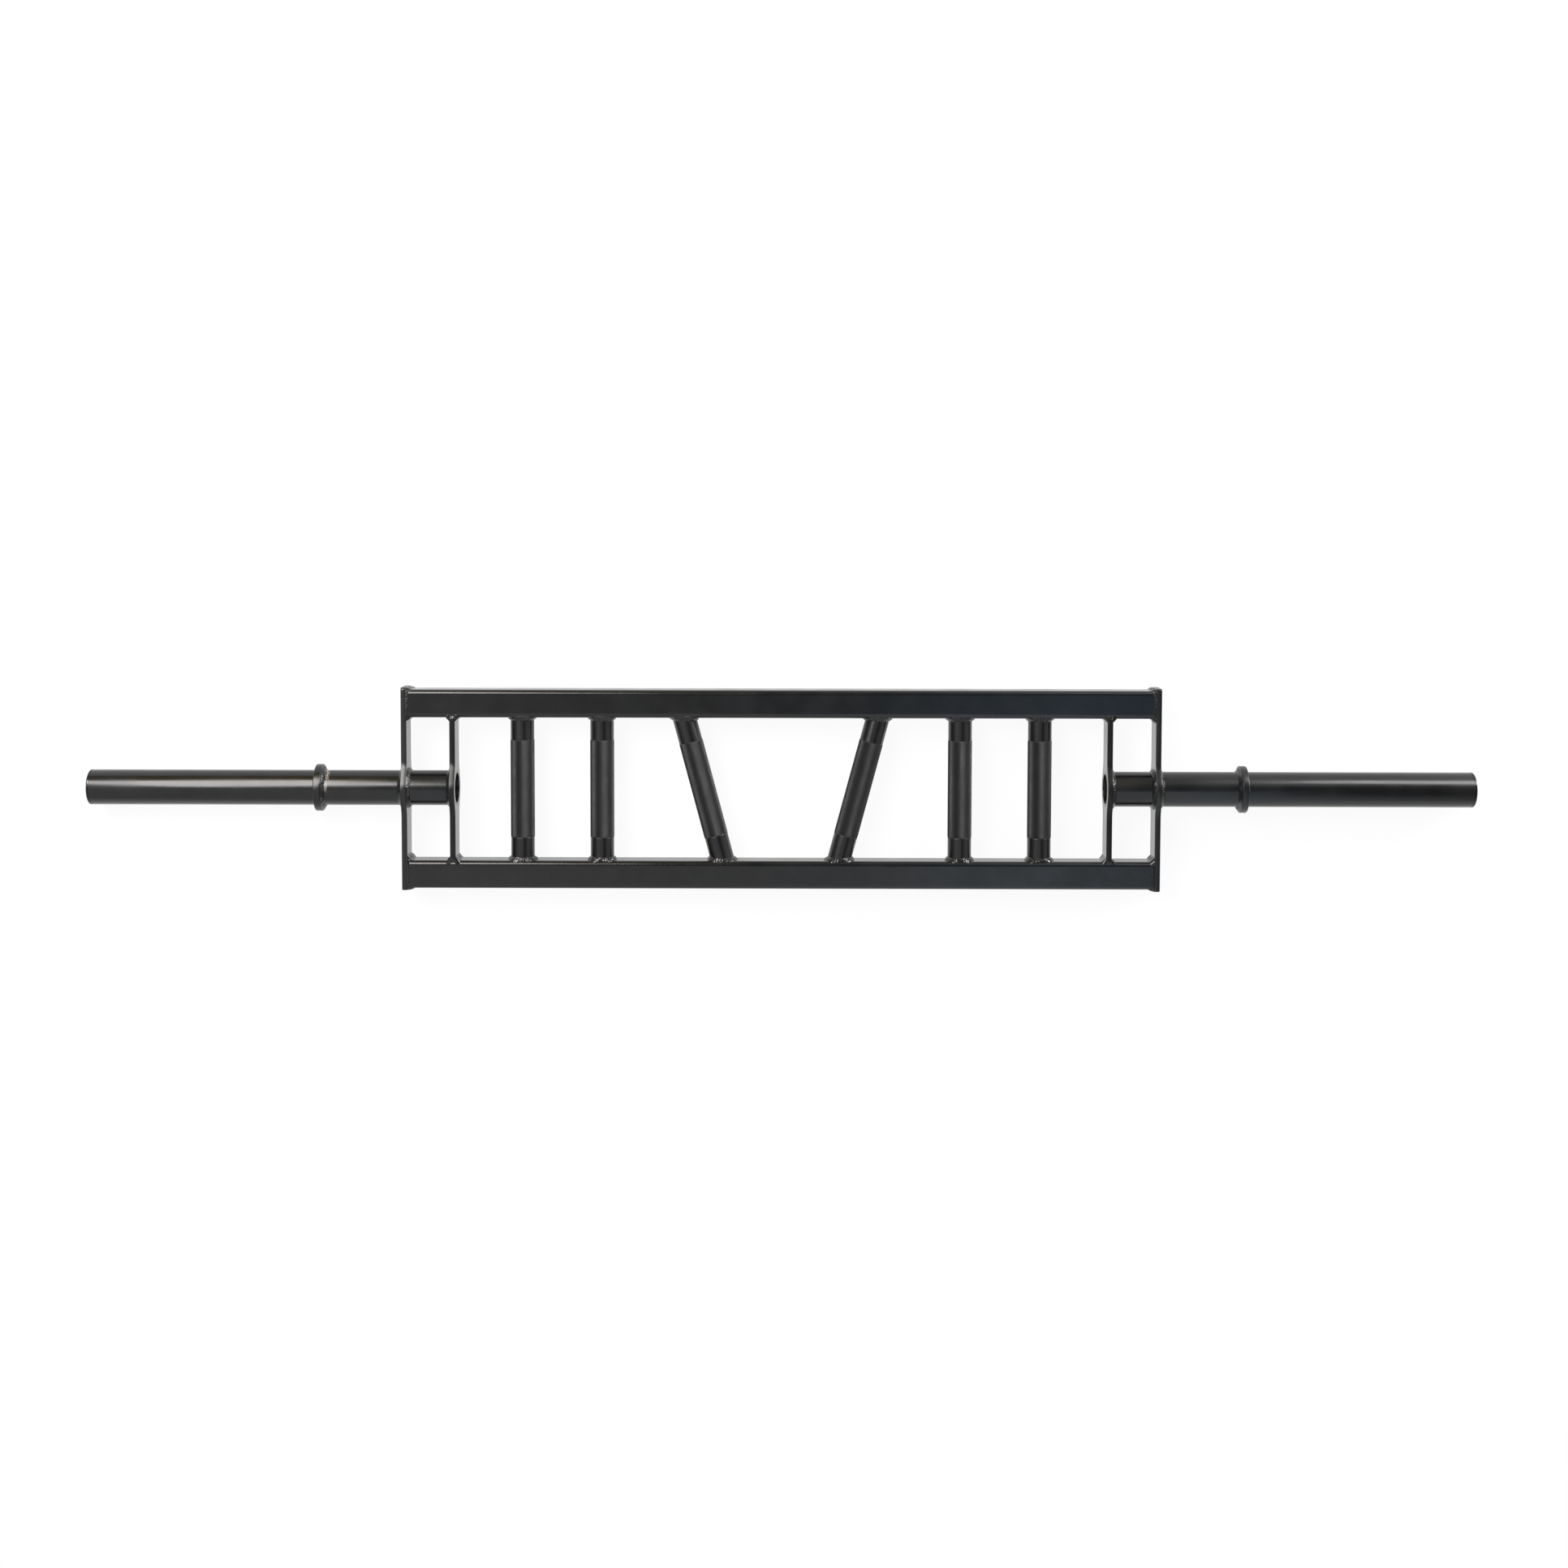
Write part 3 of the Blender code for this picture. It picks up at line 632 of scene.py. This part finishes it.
def handleWeld(seed, middle, lean, side):
    # the band round a leaning tube where it meets the rail: up the tube on one side, out over the
    # rail on the other
    count = round(2 * np.pi * handle["radius"] * handleBead["longer"] / weld["step"])
    angles = np.linspace(0, 2 * np.pi, count, endpoint=False)
    slant, edge = np.radians(lean), handleBead["edge"]
    axis = np.array([np.sin(slant), np.cos(slant), 0])
    out = np.outer(np.cos(angles), [np.cos(slant), -np.sin(slant), 0])
    out = out + np.outer(np.sin(angles), [0, 0, 1])
    foot = np.array([middle, 0, 0]) + handle["radius"] * out
    rise = (side * (rail["face"] + railDrop(foot[:, 2])) - foot[:, 1]) / np.cos(slant)
    root = foot + rise[:, None] * axis
    away = unit(out * [1, 0, 1])
    toe = root + away * handleBead["rail"]
    toeA = onRail(toe[:, 0], np.clip(toe[:, 2], -edge, edge), side)
    toeB = root - side * axis * handleBead["handle"]
    facing = unit(away - side * axis)
    crown = np.full(count, handleBead["crown"])
    return beadSurface(seed, toeA, toeB, root, facing, crown, handleBead)


def plateWeld(seed, middle, side):
    # the band all round the end of an inner plate: full fillets on its two faces, low ones over
    # its two edges
    halfX, halfZ, corner = plate["thick"] / 2, rail["width"] / 2, plate["innerCorner"]
    points, rootEdge = plateBead["cornerPoints"], plateBead["rootEdge"]
    pieces, outs = [], []
    for quarter, (cx, cz) in enumerate(((1, 1), (-1, 1), (-1, -1), (1, -1))):
        start = 90 * quarter
        centre = (cx * (halfX - corner), cz * (halfZ - corner))
        arc = arcPoints(centre, corner, start, start + 90, points)
        angles = np.radians(np.linspace(start, start + 90, points))
        out = np.stack([np.cos(angles), np.sin(angles)], axis=1)
        span = 2 * (halfX - corner) if quarter % 2 == 0 else 2 * (halfZ - corner)
        steps = max(3, round(span / weld["step"]))
        direction = np.array([-out[-1, 1], out[-1, 0]])
        line = arc[-1] + np.linspace(0, span, steps, endpoint=False)[1:, None] * direction
        pieces += [arc, line]
        outs += [out, np.repeat(out[-1:], len(line), axis=0)]
    outline, out = np.concatenate(pieces), np.concatenate(outs)
    front = np.abs(out[:, 1]) ** 2
    x = middle + outline[:, 0]
    root = onRail(x, np.clip(outline[:, 1], -rootEdge, rootEdge), side)
    onRailLeg = plateBead["rail"] * (1 - front) + plateBead["frontRail"] * front
    reach = outline + out * onRailLeg[:, None]
    toeA = onRail(middle + reach[:, 0], np.clip(reach[:, 1], -weld["edge"], weld["edge"]), side)
    leg = plateBead["plate"] * (1 - front) + plateBead["frontPlate"] * front
    toeB = np.stack([x, side * (rail["face"] - leg), outline[:, 1]], axis=1)
    facing = unit(np.stack([out[:, 0], -side * (1 - front), out[:, 1]], axis=1))
    crown = np.full(len(root), plateBead["crown"])
    return beadSurface(seed, toeA, toeB, root, facing, crown, plateBead)


def railEndWeld(seed, endName, sideName):
    # the band round a rail's end: a fillet towards the other rail, a thin seam on the flush front
    # and back, and a low dome over the end of the plate on the far side. The seam's legs differ
    # between the ends of the bar, the dome's between the rails, and the seam's vigour by corner.
    sign, side = ends[endName], sides[sideName]
    outline, out = squareRound(0)
    steps = np.linalg.norm(np.roll(outline, -1, axis=0) - outline, axis=1)
    places = np.concatenate([[0], np.cumsum(steps)])
    even = np.linspace(0, places[-1], round(places[-1] / weld["step"]), endpoint=False)
    closed = np.concatenate([outline, outline[:1]])
    turnedOut = np.concatenate([out, out[:1]])
    y, z = (np.interp(even, places, closed[:, k]) for k in range(2))
    out = unit(np.stack([np.interp(even, places, turnedOut[:, k]) for k in range(2)], axis=1))
    inward = np.clip(-side * out[:, 0], 0, 1) ** 2
    outside = np.clip(side * out[:, 0], 0, 1) ** 2
    flush = out[:, 1] ** 2
    x = np.full(len(y), sign * plate["outerFace"])
    root = np.stack([x, y + side * railCentre, z], axis=1)
    outward = np.stack([np.zeros(len(y)), out[:, 0], out[:, 1]], axis=1)
    legs = [endBead["inside"], endBead["front"][endName], endBead["outside"][sideName]]
    fillet, seam, dome = legs
    shares = [inward, flush, outside]
    alongRail = sum(share * leg[0] for share, leg in zip(shares, legs))
    toeA = root - sign * alongRail[:, None] * [1, 0, 0]
    up = inward * fillet[1] + outside * endBead["top"]
    over = flush * seam[1] + outside * dome[1]
    toeB = root + outward * up[:, None] + sign * over[:, None] * [1, 0, 0]
    facing = unit(outward - sign * inward[:, None] * [1, 0, 0])
    crown = sum(share * height for share, height in zip(shares, endBead["crown"]))
    vigour = 1 - flush + flush * endBead["frontVigour"][endName + sideName]
    band = beadSurface(seed, toeA, toeB, root, facing, crown, endBead, vigour)
    reach = endBead["reach"]
    band[..., 1] = np.clip(band[..., 1], -reach, reach)  # no higher than the plate's end
    return band


def tubeWeld(seed, face, direction, bead):
    # the band round the sleeve tube on a flat face, on the side given by the direction along X
    count = round(2 * np.pi * (sleeve["radius"] + weld["tubeRise"]) / weld["step"])
    angles = np.linspace(0, 2 * np.pi, count, endpoint=False)
    radial = np.stack([np.zeros(count), np.cos(angles), np.sin(angles)], axis=1)
    root = radial * sleeve["radius"] + [face, 0, 0]
    toeA = root + direction * bead["tube"] * np.array([1, 0, 0])
    toeB = root + radial * bead["plate"]
    facing = unit(radial + direction * np.array([1, 0, 0]))
    return beadSurface(seed, toeA, toeB, root, facing, np.full(count, bead["crown"]), bead)


def addBead(name, band, coat, nodes):
    addPiece(name, band, coat, nodes, smoothBelow=weld["smoothBelow"])


tubeJoints = [  # piece, node, face along X, side that the bead lies on, bead
    ("OuterPlateTubeInsideWeld", "outer_plate_tube_inside_weld", plate["outerFace"], -1, tubeBead),
    ("OuterPlateTubeOutsideWeld", "outer_plate_tube_outside_weld",
     plate["outerFace"] + plate["thick"], 1, tubeBead),
    ("InnerPlateTubeWeld", "inner_plate_tube_weld", plate["innerFace"] + plate["thick"], 1,
     tubeBead),
    ("CollarWeld", "collar_weld", collar["face"], -1, collarBead),
]
seed = 11
for endName, sign in ends.items():
    for sideName, side in sides.items():
        for kind, (middle, lean) in handlePlaces.items():
            node = kind.replace("Handle", "_handle").lower() + "_" + sideName + "_weld"
            seed += 1
            addBead(endName + kind + sideName.title() + "Weld",
                    handleWeld(seed, sign * middle, sign * lean, side), beadCoat,
                    [endName + "_" + node])
        seed += 1
        nodes = [endName + "_inner_plate_" + sideName + "_" + where + "_weld"
                 for where in ("front", "back")]
        middle = sign * (plate["innerFace"] + plate["thick"] / 2)
        addBead(endName + "InnerPlate" + sideName.title() + "Weld",
                plateWeld(seed, middle, side), beadCoat, nodes)
        seed += 1
        addBead(endName + sideName.title() + "RailWeld", railEndWeld(seed, endName, sideName),
                tubeBeadCoat, [endName + "_" + sideName + "_rail_weld"])
    for kind, node, face, direction, bead in tubeJoints:
        seed += 1
        addBead(endName + kind, tubeWeld(seed, sign * face, sign * direction, bead),
                tubeBeadCoat, [endName + "_" + node])
print("welds made")

# spatter
spatter = {"radius": (0.0002, 0.0006), "flat": 0.5, "rings": 4, "around": 9, "top": 88,
           "footShare": 0.02, "footDepth": 0.3, "aside": [0.3, 0.5, 0.8], "perPlate": 5,
           "perHandle": 3, "band": (0.0315, 0.0480), "strip": 0.0185,
           "nearHandle": (0.0235, 0.0400), "flatShare": 0.9, "seed": 5}


def dropSurface(centre, normal, radius):
    # half a flattened ball: rings of points from the foot to the top, closed by a short last
    # ring, then a buried foot
    first = unit(np.cross(normal, spatter["aside"]))
    second = np.cross(normal, first)
    around = np.linspace(0, 2 * np.pi, spatter["around"], endpoint=False)[None, :, None]
    rise = np.radians(np.linspace(0, spatter["top"], spatter["rings"]))[:, None, None]
    ball = radius * (np.cos(rise) * (np.cos(around) * first + np.sin(around) * second)
                     + spatter["flat"] * np.sin(rise) * normal)
    foot = spatter["footShare"] * ball[:1] - normal * radius * spatter["footDepth"]
    return centre + np.concatenate([foot, ball])


def spatterPiece(name, spots, coat):
    # all drops of one piece in one mesh: the same grid faces for each, numbered on, with a fan of
    # triangles over its last ring and one over its foot
    grids = [dropSurface(*spot) for spot in spots]
    rows, columns = grids[0].shape[:2]
    quads = gridQuads(rows, columns, False)
    fan = np.arange(1, columns - 1)
    top = (rows - 1) * columns + np.stack([0 * fan, fan, fan + 1], axis=1)
    foot = np.stack([0 * fan, fan + 1, fan], axis=1)
    drop = np.concatenate([quads[:, [0, 1, 2]], quads[:, [0, 2, 3]], top, foot])
    faces = np.concatenate([drop + k * rows * columns for k in range(len(grids))])
    addPiece(name, np.concatenate(grids), coat, [], faces=faces)


def plateSpots(rng, face, direction):
    # places round the tube on one face of a plate, kept inside the strip as wide as the rails
    spots = []
    while len(spots) < spatter["perPlate"]:
        angle, away = rng.uniform(0, 2 * np.pi), rng.uniform(*spatter["band"])
        y, z = away * np.cos(angle), away * np.sin(angle)
        if abs(z) < spatter["strip"]:
            radius = rng.uniform(*spatter["radius"])
            spots.append((np.array([face, y, z]), np.array([direction, 0.0, 0.0]), radius))
    return spots


def handleSpots(rng, middle, side):
    # places on the rail's inner face beside the foot of a handle
    spots, share = [], spatter["flatShare"]
    for _ in range(spatter["perHandle"]):
        x = middle + rng.choice([-1, 1]) * rng.uniform(*spatter["nearHandle"])
        spot = np.array([x, side * rail["face"], rng.uniform(-share, share) * railFlat])
        spots.append((spot, np.array([0.0, -side, 0.0]), rng.uniform(*spatter["radius"])))
    return spots


rng = np.random.default_rng(spatter["seed"])
for endName, sign in ends.items():
    spots = plateSpots(rng, sign * plate["outerFace"], -sign)
    spots += plateSpots(rng, sign * (plate["innerFace"] + plate["thick"]), sign)
    for middle, lean in handlePlaces.values():
        for side in sides.values():
            foot = sign * middle + side * rail["face"] * np.tan(np.radians(sign * lean))
            spots += handleSpots(rng, foot, side)
    spatterPiece(endName + "Spatter", spots, beadCoat)
print("spatter made")

# floor
floorLook = {"height": -0.0337, "size": 30.0, "points": 9, "colour": (0.86, 0.86, 0.86),
             "paler": (0.88, 0.88, 0.88), "toneScale": 1.3, "shown": 0.93}


def paleFloor(look):
    # a soft white that is mostly its own light where the camera or a reflection sees it, so
    # shadows stay faint
    material, tree, shader = newCoat("paleFloor")
    tree.nodes.remove(shader)
    output = tree.nodes["Material Output"]
    place = addNode(tree, "ShaderNodeTexCoord").outputs["Object"]
    tone = mixOf(tree, noiseOf(tree, place, look["toneScale"], 2.0), look["colour"],
                 look["paler"])
    matt = addNode(tree, "ShaderNodeBsdfDiffuse", {"Color": tone})
    glow = addNode(tree, "ShaderNodeEmission", {"Color": (1, 1, 1, 1), "Strength": 1.0})
    path = addNode(tree, "ShaderNodeLightPath")
    seen = mathOf(tree, "MAXIMUM", path.outputs["Is Camera Ray"], path.outputs["Is Glossy Ray"])
    seen = mathOf(tree, "MAXIMUM", seen, path.outputs["Is Transmission Ray"])
    mix = addNode(tree, "ShaderNodeMixShader", {0: mathOf(tree, "MULTIPLY", seen, look["shown"]),
                                                1: matt.outputs[0], 2: glow.outputs[0]})
    tree.links.new(mix.outputs[0], output.inputs["Surface"])
    return material


def floorSurface(look):
    # an even grid of points at one height
    line = np.linspace(-look["size"], look["size"], look["points"])
    x, y = np.meshgrid(line, line, indexing="ij")
    return np.stack([x, y, np.full_like(x, look["height"])], axis=-1)


grid = floorSurface(floorLook)
faces = gridQuads(floorLook["points"], floorLook["points"], False, False)[:, ::-1]
floorMesh = bpy.data.meshes.new("floor")
floorMesh.from_pydata(grid.reshape(-1, 3).tolist(), [], faces.tolist())
floorMesh.materials.append(paleFloor(floorLook))
floor = bpy.data.objects.new("floor", floorMesh)
bpy.context.scene.collection.objects.link(floor)
print("floor made")

# light
softBoxes = [
    {"name": "leftBox", "at": (-1.42, 1.32, 2.05), "to": (-0.57, 0.0, 0.0), "size": (1.61, 1.68),
     "radiance": 11.6, "tint": (1.0, 0.985, 0.975)},
    {"name": "rightBox", "at": (2.45, 2.90, 1.75), "to": (0.9, 0.0, 0.0), "size": (1.7, 1.3),
     "radiance": 7.0, "tint": (1.0, 1.0, 1.0)},
    {"name": "farRightBox", "at": (3.45, 2.00, 0.92), "to": (0.0, 0.0, 0.0), "size": (1.5, 1.1),
     "radiance": 36.0, "tint": (1.0, 1.0, 1.0)},
]
# The studio's glow: at one lean along the bar (-1 to the left, 1 to the right) an arch from the
# front horizon, -90 degrees, over the top to the back horizon, 90 degrees, with its level and how
# far it is from grey to blue, or to olive below zero.
skyArches = [
    {"lean": -0.95, "arch": [(-90, 0.20, 0.0), (90, 0.16, 0.0)]},
    {"lean": -0.66, "arch": [(-90, 0.65, 0.0), (-25, 0.95, 0.0), (20, 0.95, 0.0),
                             (90, 0.10, -0.8)]},
    {"lean": -0.30, "arch": [(-90, 0.66, 0.0), (-25, 0.70, 0.0), (20, 0.75, 0.0),
                             (60, 0.5, -1.5), (90, 0.08, -1.5)]},
    {"lean": -0.15, "arch": [(-90, 0.74, 0.0), (-9.5, 0.96, 0.0), (-5.5, 0.48, 0.0),
                             (10, 0.50, 0.0), (60, 0.8, -1.5), (90, 0.06, -1.5)]},
    {"lean": 0.00, "arch": [(-90, 0.80, 0.0), (-9.5, 0.80, 0.0), (-6, 0.10, 0.1),
                            (15, 0.08, 0.1), (90, 0.25, 0.0)]},
    {"lean": 0.08, "arch": [(-90, 1.05, 0.15), (-9.5, 1.10, 0.2), (-6, 0.24, 0.6),
                            (15, 0.14, 0.5), (90, 0.80, 0.0)]},
    {"lean": 0.13, "arch": [(-90, 1.25, 0.3), (-42, 1.40, 0.3), (-22, 1.15, 0.3),
                            (-13, 1.20, 0.25), (-9.5, 1.50, 0.25), (-6, 0.56, 1.2),
                            (12, 0.22, 0.8), (32, 0.40, 0.5), (48, 1.45, 0.1),
                            (90, 1.05, 0.1)]},
    {"lean": 0.215, "arch": [(-90, 1.25, 0.1), (-45, 0.60, 0.2), (-20, 0.16, 0.2),
                             (22, 0.10, 0.0), (42, 1.20, 0.0), (50, 1.60, 0.0),
                             (90, 1.25, 0.0)]},
    {"lean": 0.45, "arch": [(-90, 0.90, 0.0), (-50, 0.35, 0.0), (-20, 0.06, 0.0),
                            (30, 0.05, 0.0), (90, 1.25, 0.0)]},
    {"lean": 0.75, "arch": [(-90, 0.60, 0.0), (90, 0.60, 0.0)]},
]
skyLook = {"peak": 2.0, "haze": (0.08, 0.02), "oliveRed": 0.20, "oliveBlue": 0.55, "blue": 0.45}


def addSoftBox(box):
    # a rectangular lamp turned to face a point, its power worked out from its own brightness
    lamp = bpy.data.lights.new(box["name"], "AREA")
    lamp.shape = "RECTANGLE"
    lamp.size, lamp.size_y = box["size"]
    lamp.energy = box["radiance"] * np.pi * box["size"][0] * box["size"][1]
    lamp.color = box["tint"]
    lampObject = bpy.data.objects.new(box["name"], lamp)
    bpy.context.scene.collection.objects.link(lampObject)
    lampObject.location = box["at"]
    heading = Vector(box["to"]) - Vector(box["at"])
    lampObject.rotation_euler = heading.to_track_quat("-Z", "Y").to_euler()


def archColour(level, blue):
    # grey of one level turned towards blue, or towards olive below zero
    red, far = skyLook["blue"], skyLook["blue"]
    if blue < 0:
        red, far = skyLook["oliveRed"], skyLook["oliveBlue"]
    return (level * (1 - red * blue), level, level * (1 + far * blue))


def studioSky(arches, look):
    # each arch is a ramp over the angle between front and back, and neighbours are blended by the
    # lean along the bar. Just above the horizon all of them fade to white, so that a low view
    # ends in a pale wall.
    world = bpy.data.worlds.new("studio")
    bpy.context.scene.world = world
    world.use_nodes = True
    tree = world.node_tree
    background = tree.nodes["Background"]
    direction = addNode(tree, "ShaderNodeTexCoord").outputs["Generated"]
    axes = addNode(tree, "ShaderNodeSeparateXYZ", {0: direction}).outputs
    angle = mathOf(tree, "ARCTAN2", axes["Y"], axes["Z"])
    share = ranged(tree, angle, -np.pi / 2, np.pi / 2)
    glow, before = None, None
    for entry in arches:
        ramp = addNode(tree, "ShaderNodeValToRGB", {"Fac": share})
        stops = ramp.color_ramp.elements
        for k, (degrees, level, blue) in enumerate(entry["arch"]):
            stop = stops[k] if k < 2 else stops.new(1.0)
            stop.position = (degrees + 90) / 180
            stop.color = (*(c / look["peak"] for c in archColour(level, blue)), 1.0)
        here = ramp.outputs["Color"]
        if glow is None:
            glow = here
        else:
            glow = mixOf(tree, ranged(tree, axes["X"], before, entry["lean"]), glow, here)
        before = entry["lean"]
    bright = addNode(tree, "ShaderNodeVectorMath", {0: glow, "Scale": look["peak"]},
                     operation="SCALE").outputs[0]
    haze = ranged(tree, axes["Z"], *look["haze"])
    tree.links.new(mixOf(tree, haze, bright, (1.0, 1.0, 1.0)), background.inputs["Color"])
    background.inputs["Strength"].default_value = 1.0


for box in softBoxes:
    addSoftBox(box)
studioSky(skyArches, skyLook)
print("light made")

# camera
view = {"lens": 51.05, "sensor": 36.0, "at": (0.0041, 0.43546, 3.16479),
        "shift": (0.0045, -0.1038), "tilt": (-0.06172, 0.00324, 0.00212)}
camera = bpy.data.cameras.new("camera")
camera.lens = view["lens"]
camera.sensor_width = view["sensor"]
camera.shift_x, camera.shift_y = view["shift"]
cameraObject = bpy.data.objects.new("camera", camera)
bpy.context.scene.collection.objects.link(cameraObject)
# turned in radians about X, then the turned Y, then the turned Z
turnX, turnY, turnZ = (Matrix.Rotation(angle, 3, axis) for angle, axis in zip(view["tilt"], "XYZ"))
cameraObject.location = view["at"]
cameraObject.rotation_euler = (turnX @ turnY @ turnZ).to_euler()
bpy.context.scene.camera = cameraObject
bpy.context.scene.view_settings.view_transform = "Standard"
print("camera made")
